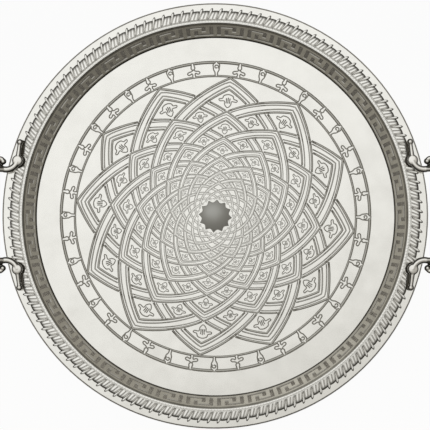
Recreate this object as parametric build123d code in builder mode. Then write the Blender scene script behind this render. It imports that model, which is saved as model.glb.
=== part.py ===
"""Round gallery tray with two cast scroll handles.

Millimetres, +Z up. The origin is on the table, under the middle of the tray, and the handles lie along X.
"""

import os
from math import atan2, cos, degrees, hypot, pi, radians, sin, sqrt, tan

from build123d import *

# Tray: the rim, with a plain border outside the gadroon, and the height and spread of the gallery wall
rim_diameter = 356.0
rim_border = 4.1
gallery_height = 25.0
gallery_spread = 9.55

# Gauge of each sheet
floor_gauge = 1.4
gallery_gauge = 0.8
flange_gauge = 1.2

# Foot ring under the floor
foot_height = 3.0
foot_seat_width = 4.5
foot_land_width = 2.5
foot_inset = 4.0
solder_ledge = 1.2

# Greek key, pierced through the wall. Each unit is one panel of the wall, eight columns by five rows.
key_units = 38
key_columns = 8
key_rows = 5
key_bottom_margin = 4.6
key_top_margin = 6.2

# Turned-down edge of the rim
lip_depth = 2.4
lip_gauge = 1.0
lip_bevel_width = 1.2
lip_bevel_drop = 0.7

# Beaded wire beside the opening
bead_inset = 0.3
bead_width = 1.6
bead_height = 1.1

# Gadroon border: wide lobes with a narrow tongue between them, all slanting one way
gadroon_gap = 0.4
gadroon_width = 10.0
gadroon_base = 0.9
gadroon_count = 132
gadroon_slant = 25.0
gadroon_draft = 38.0
lobe_share = 0.62
lobe_height = 3.4
tongue_height = 2.5

# Handle feet and their screws
foot_setback = 7.4
foot_spread = 90.6
boss_diameter = 8.4
boss_sides = 16
boss_clearance = 0.3
boss_crown = 2.6
boss_chamfer = 1.8
arm_height = 6.8
screw_diameter = 3.0
screw_clearance = 0.4
screw_grip = 5.0
screw_head_diameter = 5.6
screw_head_height = 2.0
screw_head_sides = 6

# Arm of a handle: spur along the rim, scroll over the edge, volute at its end
spur_length = 17.0
spur_splay = 7.0
spur_root_diameter = 5.0
spur_neck_diameter = 4.0
spur_bud_diameter = 5.6
spur_bud_length = 5.4
spur_tip_diameter = 2.6
bar_sides = 8
scroll_bar = 5.2
volute_bar = 3.4
scroll_radius = 9.75
scroll_start = 193.0
scroll_turn = 128.0
scroll_facets = 9
volute_radius = 4.3
volute_turn = 160.0
volute_facets = 8
eye_diameter = 5.8
eye_height = 4.6

# Bow grip of a handle
bow_reach = 35.0
bow_rise = 12.0
bow_bar = 6.4
bow_corner_radius = 18.0
bow_corner_facets = 5
bow_half_angle = 35.0
bow_crown_facets = 8

# Radii from the rim inwards, and levels from the table upwards
rim_radius = rim_diameter / 2
gadroon_outer = rim_radius - rim_border
gadroon_inner = gadroon_outer - gadroon_width
bead_outer = gadroon_inner - gadroon_gap
bead_inner = bead_outer - bead_width
opening_radius = bead_inner - bead_inset
floor_radius = opening_radius - gallery_spread
floor_top = foot_height + floor_gauge
flange_bottom = floor_top + gallery_height
flange_top = flange_bottom + flange_gauge

wall_slant = hypot(gallery_spread, gallery_height)
wall_sine = gallery_height / wall_slant
wall_cosine = gallery_spread / wall_slant
wall_width = gallery_gauge / wall_sine
plate_radius = floor_radius + wall_width + solder_ledge

with BuildPart() as base_plate:
    with BuildSketch(Plane.XY.offset(foot_height)):
        Circle(plate_radius)
    extrude(amount=floor_gauge)

# The foot tapers from its seat under the floor to the land that it stands on
foot_outer = plate_radius - foot_inset
foot_draft = (foot_seat_width - foot_land_width) / 2

with BuildPart() as foot_ring:
    with BuildSketch(Plane.XZ):
        with BuildLine():
            Polyline(
                (foot_outer, foot_height),
                (foot_outer - foot_draft, 0),
                (foot_outer - foot_draft - foot_land_width, 0),
                (foot_outer - foot_seat_width, foot_height),
                close=True,
            )
        make_face()
    revolve(axis=Axis.Z)

# One unit of the key is a hook-shaped hole and the same hole turned half round
key_middle = key_bottom_margin + (wall_slant - key_bottom_margin - key_top_margin) / 2
key_row = (wall_slant - key_bottom_margin - key_top_margin) / key_rows
key_radius = floor_radius + key_middle * wall_cosine
key_column = 2 * key_radius * tan(pi / key_units) / key_columns
key_side = (key_columns - 1) / 2 * key_column
key_end = key_rows / 2 * key_row
key_hook = [
    (-key_side, -key_end),
    (key_side - 2 * key_column, -key_end),
    (key_side - 2 * key_column, -key_end + 3 * key_row),
    (key_side - 3 * key_column, -key_end + 3 * key_row),
    (key_side - 3 * key_column, -key_end + key_row),
    (-key_side + key_column, -key_end + key_row),
    (-key_side + key_column, key_end),
    (-key_side, key_end),
]
key_plane = Plane(
    origin=(key_radius, 0, floor_top + key_middle * wall_sine),
    x_dir=(0, 1, 0),
    z_dir=(wall_sine, 0, -wall_cosine),
)

with BuildPart() as key_cutter:
    with BuildSketch(key_plane):
        with PolarLocations(0, 2):
            Polygon(*key_hook, align=None)
    extrude(amount=2 * gallery_gauge, both=True)

# The wall has one flat panel to a key unit, leaning outwards
panel_turn = 180 / key_units

with BuildPart() as gallery_band:
    with BuildSketch(Plane.XY.offset(floor_top)):
        RegularPolygon(floor_radius + wall_width, key_units, major_radius=False, rotation=panel_turn)
        RegularPolygon(floor_radius, key_units, major_radius=False, rotation=panel_turn, mode=Mode.SUBTRACT)
    with BuildSketch(Plane.XY.offset(flange_bottom)):
        RegularPolygon(opening_radius + wall_width, key_units, major_radius=False, rotation=panel_turn)
        RegularPolygon(opening_radius, key_units, major_radius=False, rotation=panel_turn, mode=Mode.SUBTRACT)
    loft(ruled=True)
    with PolarLocations(0, key_units):
        add(key_cutter.part, mode=Mode.SUBTRACT)

# Handle feet stand on a circle of the rim, two to a side
foot_reach = sqrt((rim_radius - foot_setback) ** 2 - (foot_spread / 2) ** 2)
handle_feet = [(side * foot_reach, end * foot_spread / 2) for side in (1, -1) for end in (1, -1)]

with BuildPart() as rim_flange:
    with BuildSketch(Plane.XZ):
        with BuildLine():
            Polyline(
                (opening_radius, flange_bottom),
                (rim_radius - lip_gauge, flange_bottom),
                (rim_radius - lip_gauge, flange_bottom - lip_depth),
                (rim_radius, flange_bottom - lip_depth),
                (rim_radius, flange_top - lip_bevel_drop),
                (rim_radius - lip_bevel_width, flange_top),
                (opening_radius, flange_top),
                close=True,
            )
        make_face()
    revolve(axis=Axis.Z)
    with BuildSketch(Plane.XY.offset(flange_top)):
        with Locations(*handle_feet):
            Circle((screw_diameter + screw_clearance) / 2)
    extrude(amount=-flange_gauge, mode=Mode.SUBTRACT)

# The beaded wire stands on the rim as a low ridge
with BuildPart() as bead_wire:
    with BuildSketch(Plane.XZ):
        Polygon(
            (bead_inner, flange_top),
            (bead_outer, flange_top),
            ((bead_inner + bead_outer) / 2, flange_top + bead_height),
            align=None,
        )
    revolve(axis=Axis.Z)

# One unit of the gadroon is a lobe and a tongue side by side. Both stand on a thin base, slope in on all
# sides and lean, so that their inner ends lie ahead of their outer ends.
gadroon_pitch = 2 * pi / gadroon_count
gadroon_middle = (gadroon_inner + gadroon_outer) / 2
gadroon_lean = gadroon_width / 2 * tan(radians(gadroon_slant)) / gadroon_middle
lobe_edge = lobe_share * gadroon_pitch / 2


def flute_corners(first, last):
    """Corners of a lobe or a tongue that lies between two angles at the middle of the border."""
    ends = [
        (gadroon_inner, first + gadroon_lean),
        (gadroon_outer, first - gadroon_lean),
        (gadroon_outer, last - gadroon_lean),
        (gadroon_inner, last + gadroon_lean),
    ]
    return [(radius * cos(angle), radius * sin(angle)) for radius, angle in ends]


lobe_corners = flute_corners(-lobe_edge, lobe_edge)
tongue_corners = flute_corners(lobe_edge, gadroon_pitch - lobe_edge)

with BuildPart() as gadroon_unit:
    for corners, height in ((lobe_corners, lobe_height), (tongue_corners, tongue_height)):
        with BuildSketch(Plane.XY.offset(flange_top)):
            Polygon(*corners, align=None)
        extrude(amount=gadroon_base)
        with BuildSketch(Plane.XY.offset(flange_top + gadroon_base)):
            Polygon(*corners, align=None)
        extrude(amount=height - gadroon_base, taper=gadroon_draft)

with BuildPart() as gadroon_border:
    with PolarLocations(0, gadroon_count):
        add(gadroon_unit.part)
    with BuildSketch(Plane.XY.offset(flange_top)):
        with Locations(*handle_feet):
            Circle(boss_diameter / 2 + boss_clearance)
    extrude(amount=lobe_height, mode=Mode.SUBTRACT)

# Arm of the right handle on the +Y side. The scroll leaves the foot, dips towards the middle of the
# handle, and turns tighter into the volute.
foot_x, foot_y = handle_feet[0]
arm_level = flange_top + arm_height
scroll_x = foot_x - scroll_radius * cos(radians(scroll_start))
scroll_y = foot_y - scroll_radius * sin(radians(scroll_start))
scroll_end = radians(scroll_start + scroll_turn)
volute_x = scroll_x + (scroll_radius - volute_radius) * cos(scroll_end)
volute_y = scroll_y + (scroll_radius - volute_radius) * sin(scroll_end)

scroll_plane = Plane.XY.offset(arm_level)


def bend_points(centre_x, centre_y, radius, start, turn, facets):
    """Points along a bend, which a bar follows in straight facets so that its faces stay few."""
    angles = [radians(start + turn * step / facets) for step in range(facets + 1)]
    return [(centre_x + radius * cos(angle), centre_y + radius * sin(angle)) for angle in angles]


scroll_points = bend_points(scroll_x, scroll_y, scroll_radius, scroll_start, scroll_turn, scroll_facets)
volute_points = bend_points(
    volute_x, volute_y, volute_radius, scroll_start + scroll_turn, volute_turn, volute_facets
)

# The volute's bar is rooted in the last facet of the scroll
with BuildLine(scroll_plane) as scroll_path:
    Polyline(*scroll_points)

with BuildLine(scroll_plane) as volute_path:
    Polyline(scroll_points[-2], *volute_points)

# The bow leaves the lowest point of the scroll, and lies in a plane that rises outwards
bow_half_width = scroll_y - scroll_radius
bow_run = rim_radius + bow_reach - scroll_x
bow_length = hypot(bow_run, bow_rise)
bow_crown_radius = bow_corner_radius + (bow_half_width - bow_corner_radius) / sin(radians(bow_half_angle))
bow_crown_drop = bow_crown_radius * (1 - cos(radians(bow_half_angle)))
bow_leg = bow_length - bow_crown_drop - bow_corner_radius * cos(radians(bow_half_angle))
bow_plane = Plane(
    origin=(scroll_x, 0, arm_level),
    x_dir=(bow_run, 0, bow_rise),
    z_dir=(-bow_rise, 0, bow_run),
)
corner_turn = 90 - bow_half_angle

corner_y = bow_half_width - bow_corner_radius
corner_points = bend_points(bow_leg, corner_y, bow_corner_radius, 90, -corner_turn, bow_corner_facets)
crown_points = bend_points(
    bow_length - bow_crown_radius, 0, bow_crown_radius, bow_half_angle, -2 * bow_half_angle, bow_crown_facets
)
mirrored_points = [(x, -y) for x, y in reversed(corner_points)]

with BuildLine(bow_plane) as bow_path:
    Polyline(
        (0, bow_half_width),
        *corner_points,
        *crown_points[1:-1],
        *mirrored_points,
        (0, -bow_half_width),
    )

# The spur splays a little from the handle's middle, narrows to a neck and ends in a bud
spur_plane = Plane(
    origin=(foot_x, foot_y, arm_level),
    x_dir=(0, 0, 1),
    z_dir=(-sin(radians(spur_splay)), cos(radians(spur_splay)), 0),
)
spur_sections = [
    (0, spur_root_diameter),
    (spur_length - spur_bud_length, spur_neck_diameter),
    (spur_length - spur_bud_length / 2, spur_bud_diameter),
    (spur_length, spur_tip_diameter),
]

# Bars are drawn with a few flats, so that the curls stay light
bar_turn = 180 / bar_sides

with BuildPart() as right_handle:
    with BuildSketch(Plane.XY.offset(flange_top)):
        with Locations((foot_x, foot_y)):
            RegularPolygon(boss_diameter / 2, boss_sides)
    extrude(amount=arm_height + boss_crown)
    chamfer(right_handle.edges().group_by(Axis.Z)[-1], boss_chamfer)
    for (start, first), (stop, last) in zip(spur_sections, spur_sections[1:]):
        narrowing = (first - last) / 2 * cos(pi / bar_sides)
        with BuildSketch(spur_plane.offset(start)):
            RegularPolygon(first / 2, bar_sides, rotation=bar_turn)
        extrude(amount=stop - start, taper=degrees(atan2(narrowing, stop - start)))
    for path, bar in ((scroll_path, scroll_bar), (volute_path, volute_bar)):
        curl = path.wire()
        with BuildSketch(Plane(curl @ 0, x_dir=(0, 0, 1), z_dir=curl % 0)):
            RegularPolygon(bar / 2, bar_sides, rotation=bar_turn)
        sweep(path=curl, transition=Transition.RIGHT)
    with BuildSketch(Plane.XY.offset(arm_level - eye_height / 2)):
        with Locations((volute_x, volute_y)):
            RegularPolygon(eye_diameter / 2, bar_sides)
    extrude(amount=eye_height)
    mirror(about=Plane.XZ)
    bow_wire = bow_path.wire()
    with BuildSketch(Plane(bow_wire @ 0, x_dir=bow_plane.z_dir, z_dir=bow_wire % 0)):
        RegularPolygon(bow_bar / 2, bar_sides, rotation=bar_turn)
    sweep(path=bow_wire, transition=Transition.RIGHT)
    with BuildSketch(Plane.XY.offset(flange_top)):
        with Locations(*handle_feet[:2]):
            Circle(screw_diameter / 2)
    extrude(amount=screw_grip, mode=Mode.SUBTRACT)

with BuildPart() as left_handle:
    mirror(right_handle.part, about=Plane.YZ)

# One screw under each handle foot, with its head against the underside of the rim
with BuildPart() as handle_screws:
    with BuildSketch(Plane.XY.offset(flange_bottom)):
        with Locations(*handle_feet):
            RegularPolygon(screw_head_diameter / 2, screw_head_sides)
    extrude(amount=-screw_head_height)
    with BuildSketch(Plane.XY.offset(flange_bottom)):
        with Locations(*handle_feet):
            Circle(screw_diameter / 2)
    extrude(amount=flange_gauge + screw_grip)

pieces = {
    "base_plate": base_plate,
    "foot_ring": foot_ring,
    "gallery_band": gallery_band,
    "rim_flange": rim_flange,
    "bead_wire": bead_wire,
    "gadroon_border": gadroon_border,
    "right_handle": right_handle,
    "left_handle": left_handle,
    "handle_screws": handle_screws,
}

os.makedirs("parts", exist_ok=True)
for name, piece in pieces.items():
    piece.part.label = name
    export_step(piece.part, f"parts/{name}.step")
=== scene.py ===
"""Dresses the seder tray: fine meshes for its ornament, silver finishes, a studio and a camera.

Sizes are in millimetres in the classes below and become metres when a mesh is made.
"""

import logging
import math
from dataclasses import dataclass, field
from enum import Enum
from typing import Iterable, Iterator, Mapping, Sequence

import bpy
import numpy as np
from mathutils import Matrix, Vector


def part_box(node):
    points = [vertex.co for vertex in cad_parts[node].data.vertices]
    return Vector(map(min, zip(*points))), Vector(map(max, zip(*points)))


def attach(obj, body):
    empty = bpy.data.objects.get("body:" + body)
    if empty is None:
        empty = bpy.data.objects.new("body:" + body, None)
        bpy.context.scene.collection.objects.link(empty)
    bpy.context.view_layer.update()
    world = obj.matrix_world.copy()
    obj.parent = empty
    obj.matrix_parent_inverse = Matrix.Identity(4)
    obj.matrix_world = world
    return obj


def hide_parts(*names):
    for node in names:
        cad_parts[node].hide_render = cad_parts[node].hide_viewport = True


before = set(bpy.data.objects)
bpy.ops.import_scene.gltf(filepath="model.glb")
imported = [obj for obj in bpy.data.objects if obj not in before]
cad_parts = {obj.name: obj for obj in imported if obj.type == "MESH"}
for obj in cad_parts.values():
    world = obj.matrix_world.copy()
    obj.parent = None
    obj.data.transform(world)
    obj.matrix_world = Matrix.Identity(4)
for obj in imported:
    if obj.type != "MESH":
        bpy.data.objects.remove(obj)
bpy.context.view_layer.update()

LOG = logging.getLogger("seder_tray")
MM = 0.001
BODY = "root"
# Mesh attribute holding tarnish in recesses and painted shade, which the finishes read.
TARNISH_AND_SHADE = "recess"
PHOTO_PIXELS = 430
UPRIGHT = (0.0, 0.0)
TINY = 1e-9

Colour = tuple[float, float, float]
Pair = tuple[float, float]
Outline = tuple[Pair, ...]


class Slot(Enum):
    """Material slots of the record, which nothing in this script gives to a mesh."""

    FLOOR = "floor"
    GALLERY = "gallery"
    BORDER = "border"
    HANDLE = "handle"


class Crossing(Enum):
    """How two bands of the rosette meet."""

    TIP = "both bands start afresh at a pointed tip"
    ALONG_OVER = "the band that runs along passes over"
    ACROSS_OVER = "the band that runs across passes over"


def level_of(node: str, top: bool = True) -> float:
    """Gives the height of a CAD node's top or bottom.

    Args:
        node: Name of the CAD node.
        top: True for its top, False for its bottom.

    Returns:
        The height in millimetres.
    """
    low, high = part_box(node)
    return (high if top else low).z / MM


def outer_radius_of(node: str) -> float:
    """Gives the outer radius of a round CAD node, in millimetres."""
    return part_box(node)[1].x / MM


def smooth_step(value: np.ndarray, low: float, high: float) -> np.ndarray:
    """Rises smoothly from 0 at low to 1 at high."""
    t = np.clip((value - low) / (high - low), 0.0, 1.0)
    return t * t * (3.0 - 2.0 * t)


def polar(radius: np.ndarray | float, angle: np.ndarray | float, height: np.ndarray | float) -> np.ndarray:
    """Turns radius, angle in radians and height into points.

    Args:
        radius: Distances from the Z axis.
        angle: Angles from +X, counter-clockwise.
        height: Heights.

    Returns:
        An array of points with x, y and z in its last axis.
    """
    return np.stack(np.broadcast_arrays(radius * np.cos(angle), radius * np.sin(angle), height), axis=-1)


def on_circle(angle: np.ndarray | float) -> np.ndarray:
    """Gives the points of a circle of radius 1 at some angles, in radians."""
    return np.stack([np.cos(angle), np.sin(angle)], axis=-1)


def round_turn(steps: int) -> np.ndarray:
    """Gives the angles of so many equal steps round a full turn, in radians."""
    return np.linspace(0.0, 2 * math.pi, steps, endpoint=False)


def smooth_path(points: Sequence[Sequence[float]], steps: int, closed: bool = False) -> np.ndarray:
    """Draws a smooth curve through a few points, as a Catmull-Rom spline.

    Args:
        points: The points that the curve passes through.
        steps: Steps between each two of them.
        closed: True to join the last point to the first.

    Returns:
        The points of the curve.
    """
    given = np.asarray(points, float)
    if closed:
        padded = np.concatenate([given[-1:], given, given[:2]])
    else:
        padded = np.concatenate([2 * given[:1] - given[1:2], given, 2 * given[-1:] - given[-2:-1]])
    t = np.linspace(0.0, 1.0, steps, endpoint=False)[:, None]
    curve = []
    for p0, p1, p2, p3 in zip(padded, padded[1:], padded[2:], padded[3:]):
        bend = 2 * p0 - 5 * p1 + 4 * p2 - p3
        twist = 3 * p1 - p0 - 3 * p2 + p3
        curve.append(0.5 * (2 * p1 + (p2 - p0) * t + bend * t**2 + twist * t**3))
    if not closed:
        curve.append(given[-1:])
    return np.concatenate(curve)


def squared_circle(angle: np.ndarray, flatness: float) -> tuple[np.ndarray, np.ndarray]:
    """Draws a circle whose top and sides are flattened.

    Args:
        angle: Angles round it, in radians.
        flatness: 2 for a circle, and more for a flatter form.

    Returns:
        Its two coordinates, from -1 to 1.
    """
    across, up = np.cos(angle), np.sin(angle)
    power = 2.0 / flatness
    return np.sign(across) * np.abs(across) ** power, np.sign(up) * np.abs(up) ** power


def distance_to_bars(points: np.ndarray, bars: np.ndarray) -> np.ndarray:
    """Gives how far points lie from the nearest of some straight bars.

    Args:
        points: Array of x and y.
        bars: Start and end of each bar, x and y.

    Returns:
        The distances.
    """
    nearest = np.full(points.shape[:-1], np.inf)
    for start, end in bars:
        along = end - start
        share = np.clip((points - start) @ along / (along @ along), 0.0, 1.0)
        gap = np.linalg.norm(points - start - share[..., None] * along, axis=-1)
        nearest = np.minimum(nearest, gap)
    return nearest


def set_tarnish_and_shade(mesh: bpy.types.Mesh, shade: np.ndarray, domain: str = "POINT") -> None:
    """Writes the shade of each point or face of a mesh, which its finish reads.

    Args:
        mesh: The mesh.
        shade: 0 where it is clean, up to 1 where it is darkest, by tarnish in recesses and by painted shade.
        domain: What each shade belongs to, POINT or FACE.
    """
    old = mesh.attributes.get(TARNISH_AND_SHADE)
    if old:
        mesh.attributes.remove(old)
    mesh.attributes.new(TARNISH_AND_SHADE, "FLOAT", domain).data.foreach_set("value", shade.astype(np.float32))


@dataclass
class MeshBatch:
    """Gathers grids of points, in millimetres, and makes one mesh object of them.

    The shade of a point is 0 where it is clean and up to 1 where it is darkest, by tarnish in recesses and by
    painted shade. The rib fields give a rib's section from side to side: place across, height, and how much
    of its edge's painted shade it has.
    """

    points: list[np.ndarray] = field(default_factory=list)
    shades: list[np.ndarray] = field(default_factory=list)
    faces: list[tuple[int, ...]] = field(default_factory=list)
    count: int = 0
    dome_angles: tuple[float, ...] = (15.0, 40.0, 65.0)
    rib_across: tuple[float, ...] = (-1.0, -0.62, 0.0, 0.62, 1.0)
    rib_rise: tuple[float, ...] = (-0.08, 0.72, 1.0, 0.72, -0.08)
    rib_edge: tuple[float, ...] = (1.0, 0.5, 0.0, 0.5, 1.0)

    def add_points(self, points: np.ndarray, shade: np.ndarray | float) -> int:
        """Adds points and their shade.

        Args:
            points: Points with x, y and z in the last axis.
            shade: One shade for all, or one for each point.

        Returns:
            The index of the first of them.
        """
        first = self.count
        self.points.append(points.reshape(-1, 3))
        self.shades.append(np.broadcast_to(shade, points.shape[:-1]).reshape(-1))
        self.count += len(self.points[-1])
        return first

    def add_face(self, corners: np.ndarray) -> None:
        """Adds one face from the indices of its corners."""
        self.faces.append(tuple(corners.tolist()))

    def add_grid(
        self,
        points: np.ndarray,
        shade: np.ndarray | float = 0.0,
        wrap_rows: bool = False,
        wrap_columns: bool = False,
    ) -> np.ndarray:
        """Adds a grid of points as quads.

        Args:
            points: Array of rows, columns and x, y, z.
            shade: One shade for all, or one for each point.
            wrap_rows: True to join the last row to the first.
            wrap_columns: True to join the last column to the first.

        Returns:
            The indices of the points, in rows and columns.
        """
        rows, columns = points.shape[:2]
        index = self.add_points(points, shade) + np.arange(rows * columns).reshape(rows, columns)
        grid = index
        if wrap_rows:
            grid = np.concatenate([grid, grid[:1]], axis=0)
        if wrap_columns:
            grid = np.concatenate([grid, grid[:, :1]], axis=1)
        quads = np.stack([grid[:-1, :-1], grid[:-1, 1:], grid[1:, 1:], grid[1:, :-1]], axis=-1)
        self.faces.extend(map(tuple, quads.reshape(-1, 4).tolist()))
        return index

    def join_rings(self, first: np.ndarray, last: np.ndarray) -> None:
        """Adds the quads between two closed rings with as many points."""
        quads = np.stack([first, np.roll(first, -1), np.roll(last, -1), last], axis=-1)
        self.faces.extend(map(tuple, quads.tolist()))

    def add_tube(self, path: np.ndarray, radii: np.ndarray, sides: int, flatness: float) -> None:
        """Adds a bar along a path that is nowhere upright, with rounded ends.

        Args:
            path: Points of its centre line.
            radii: Its radius at each point.
            sides: Points round the bar.
            flatness: 2 for a round bar, and more for one with a flatter top and sides.
        """
        tangent = np.gradient(path, axis=0)
        tangent /= np.linalg.norm(tangent, axis=1, keepdims=True)
        side = np.cross(tangent, (0.0, 0.0, 1.0))
        side /= np.linalg.norm(side, axis=1, keepdims=True)
        above = np.cross(side, tangent)
        dome = np.radians(self.dome_angles)
        start = [path[0] - tangent[0] * radii[0] * math.cos(a) for a in dome]
        end = [path[-1] + tangent[-1] * radii[-1] * math.cos(a) for a in dome[::-1]]
        line = np.concatenate([start, path, end])
        size = np.concatenate([radii[0] * np.sin(dome), radii, radii[-1] * np.sin(dome[::-1])])
        ends = (len(dome), len(dome))
        across = np.pad(side, (ends, (0, 0)), mode="edge")
        upward = np.pad(above, (ends, (0, 0)), mode="edge")
        aside, rise = squared_circle(round_turn(sides), flatness)
        ring = across[:, None] * aside[None, :, None] + upward[:, None] * rise[None, :, None]
        index = self.add_grid(line[:, None] + ring * size[:, None, None], wrap_columns=True)
        self.add_face(index[0])
        self.add_face(index[-1, ::-1])

    def add_turned(self, profile: Sequence[Sequence[float]], centre: Sequence[float], sides: int) -> None:
        """Adds a turned form from its profile.

        Args:
            profile: Radius and height of each point, from the bottom up.
            centre: Where its axis stands.
            sides: Points round it.
        """
        radius, height = np.asarray(profile, float).T
        turn = round_turn(sides)
        points = polar(radius[:, None], turn[None, :], height[:, None])
        index = self.add_grid(points + np.array([centre[0], centre[1], 0.0]), wrap_columns=True)
        self.add_face(index[0, ::-1])
        self.add_face(index[-1])

    def add_rib(
        self,
        path: np.ndarray,
        width: np.ndarray | float,
        height: float,
        floor: float,
        crest: float,
        closed: bool = False,
    ) -> None:
        """Adds a low rounded rib along a flat path.

        Args:
            path: Points of its centre line, x and y.
            width: Its width, for all or at each point.
            height: How far it stands up.
            floor: Height of the surface that it stands on.
            crest: Painted shade on its crest.
            closed: Whether it runs back to its start.
        """
        ahead = np.gradient(path, axis=0)
        if closed:
            ahead = np.roll(path, -1, axis=0) - np.roll(path, 1, axis=0)
        ahead /= np.maximum(np.linalg.norm(ahead, axis=1, keepdims=True), TINY)
        aside = np.stack([-ahead[:, 1], ahead[:, 0]], axis=1)
        half = np.broadcast_to(np.asarray(width, float) / 2, (len(path),))
        flat = path[:, None] + aside[:, None] * (half[:, None] * self.rib_across)[:, :, None]
        rise = np.broadcast_to(floor + np.array(self.rib_rise) * height, flat.shape[:2])
        # Painted shade darkens the rib from its crest to its feet, so that the chased line reads dark.
        shade = np.broadcast_to(crest + (1.0 - crest) * np.array(self.rib_edge), flat.shape[:2])
        points = np.concatenate([flat, rise[:, :, None]], axis=2)
        index = self.add_grid(points, shade, wrap_columns=True, wrap_rows=closed)
        if not closed:
            self.add_face(index[0])
            self.add_face(index[-1, ::-1])

    def make(
        self,
        name: str,
        finish: "SilverFinish",
        replaces: Iterable[str] = (),
    ) -> bpy.types.Object:
        """Makes the object, dresses it and lets it ride on the tray.

        Args:
            name: Name of the piece.
            finish: Its finish.
            replaces: CAD nodes that it stands for.

        Returns:
            The new object.
        """
        mesh = bpy.data.meshes.new(name)
        mesh.from_pydata((np.concatenate(self.points) * MM).tolist(), [], self.faces)
        set_tarnish_and_shade(mesh, np.concatenate(self.shades))
        mesh.shade_smooth()
        mesh.materials.append(finish.material())
        piece = bpy.data.objects.new(name, mesh)
        bpy.context.scene.collection.objects.link(piece)
        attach(piece, BODY)
        if replaces:
            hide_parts(*replaces)
        LOG.info("%s: %d points, %d faces", name, self.count, len(self.faces))
        return piece


@dataclass
class NodeBench:
    """Adds nodes to one shader's tree and joins them."""

    tree: bpy.types.NodeTree

    def feed(self, node: bpy.types.Node, inputs: Mapping[str | int, object]) -> None:
        """Sets inputs of a node.

        Args:
            node: The node.
            inputs: What each input, by name or number, gets: a value, or the output of another node.
        """
        for name, given in inputs.items():
            if isinstance(given, bpy.types.NodeSocket):
                self.tree.links.new(given, node.inputs[name])
            else:
                node.inputs[name].default_value = given

    def add(
        self,
        kind: str,
        inputs: Mapping[str | int, object] | None = None,
        **options: object,
    ) -> bpy.types.Node:
        """Adds a shader node.

        Args:
            kind: Its type, without the ShaderNode in front.
            inputs: What its inputs get.
            options: Its settings.

        Returns:
            The node.
        """
        node = self.tree.nodes.new(f"ShaderNode{kind}")
        for option, choice in options.items():
            setattr(node, option, choice)
        self.feed(node, inputs or {})
        return node


class EffectGroups:
    """Shader node groups that several finishes share, each built once."""

    CLOUD_DETAIL = 5.0
    CLOUD_ROUGHNESS = 0.6
    CLOUD_PATCHES = (0.42, 0.75)
    SMEAR_DETAIL = 4.0
    SMEAR_SPREAD = (0.3, 0.7)
    HAIRLINE_DETAIL = 6.0
    HAIRLINE_WAVE = 1.5

    @staticmethod
    def start(
        name: str,
        inputs: Sequence[tuple[str, str, object]],
        outputs: Sequence[tuple[str, str]],
    ) -> tuple[NodeBench, bpy.types.Node, bpy.types.Node]:
        """Makes an empty group with named sockets.

        Args:
            name: Name of the group.
            inputs: Name, socket type and default of each input.
            outputs: Name and socket type of each output.

        Returns:
            The bench of the group, its input node and its output node.
        """
        group = bpy.data.node_groups.new(name, "ShaderNodeTree")
        for label, kind, default in inputs:
            group.interface.new_socket(label, in_out="INPUT", socket_type=kind).default_value = default
        for label, kind in outputs:
            group.interface.new_socket(label, in_out="OUTPUT", socket_type=kind)
        return NodeBench(group), group.nodes.new("NodeGroupInput"), group.nodes.new("NodeGroupOutput")

    @classmethod
    def tarnish(cls) -> bpy.types.NodeTree:
        """Gives the group that turns clean silver to its dark tone, by tarnish in recesses, by painted shade
        and in faint clouds.
        """
        name = "silver tarnish"
        if name in bpy.data.node_groups:
            return bpy.data.node_groups[name]
        bench, given, made = cls.start(
            name,
            [
                ("Clean", "NodeSocketColor", (0.9, 0.9, 0.9, 1.0)),
                ("Dark Tone", "NodeSocketColor", (0.1, 0.09, 0.08, 1.0)),
                ("Darkening", "NodeSocketFloat", 0.0),
                ("Strength", "NodeSocketFloat", 0.8),
                ("Clouding", "NodeSocketFloat", 0.05),
                ("Scale", "NodeSocketFloat", 60.0),
            ],
            [("Colour", "NodeSocketColor")],
        )
        place = bench.add("TexCoord")
        cloud = bench.add("TexNoise", {
            "Vector": place.outputs["Object"],
            "Scale": given.outputs["Scale"],
            "Detail": cls.CLOUD_DETAIL,
            "Roughness": cls.CLOUD_ROUGHNESS,
        })
        patch = bench.add("MapRange", {
            "Value": cloud.outputs["Fac"],
            "From Min": cls.CLOUD_PATCHES[0],
            "From Max": cls.CLOUD_PATCHES[1],
        })
        haze = bench.add(
            "Math",
            {0: patch.outputs["Result"], 1: given.outputs["Clouding"]},
            operation="MULTIPLY",
        )
        deep = bench.add(
            "Math",
            {0: given.outputs["Darkening"], 1: given.outputs["Strength"], 2: haze.outputs["Value"]},
            operation="MULTIPLY_ADD",
            use_clamp=True,
        )
        blend = bench.add(
            "Mix",
            {"Factor": deep.outputs["Value"], "A": given.outputs["Clean"], "B": given.outputs["Dark Tone"]},
            data_type="RGBA",
        )
        bench.feed(made, {"Colour": blend.outputs["Result"]})
        return bench.tree

    @classmethod
    def polish(cls) -> bpy.types.NodeTree:
        """Gives the group of polishing marks: a roughness that wanders, and the height of fine hairlines."""
        name = "polishing marks"
        if name in bpy.data.node_groups:
            return bpy.data.node_groups[name]
        bench, given, made = cls.start(
            name,
            [
                ("Gloss Low", "NodeSocketFloat", 0.06),
                ("Gloss High", "NodeSocketFloat", 0.16),
                ("Scale", "NodeSocketFloat", 90.0),
                ("Hairlines", "NodeSocketFloat", 900.0),
            ],
            [("Roughness", "NodeSocketFloat"), ("Height", "NodeSocketFloat")],
        )
        place = bench.add("TexCoord")
        smear = bench.add("TexNoise", {
            "Vector": place.outputs["Object"],
            "Scale": given.outputs["Scale"],
            "Detail": cls.SMEAR_DETAIL,
        })
        spread = bench.add("MapRange", {
            "Value": smear.outputs["Fac"],
            "From Min": cls.SMEAR_SPREAD[0],
            "From Max": cls.SMEAR_SPREAD[1],
            "To Min": given.outputs["Gloss Low"],
            "To Max": given.outputs["Gloss High"],
        })
        lines = bench.add("TexNoise", {
            "Vector": place.outputs["Object"],
            "Scale": given.outputs["Hairlines"],
            "Detail": cls.HAIRLINE_DETAIL,
            "Distortion": cls.HAIRLINE_WAVE,
        })
        bench.feed(made, {"Roughness": spread.outputs["Result"], "Height": lines.outputs["Fac"]})
        return bench.tree


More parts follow.
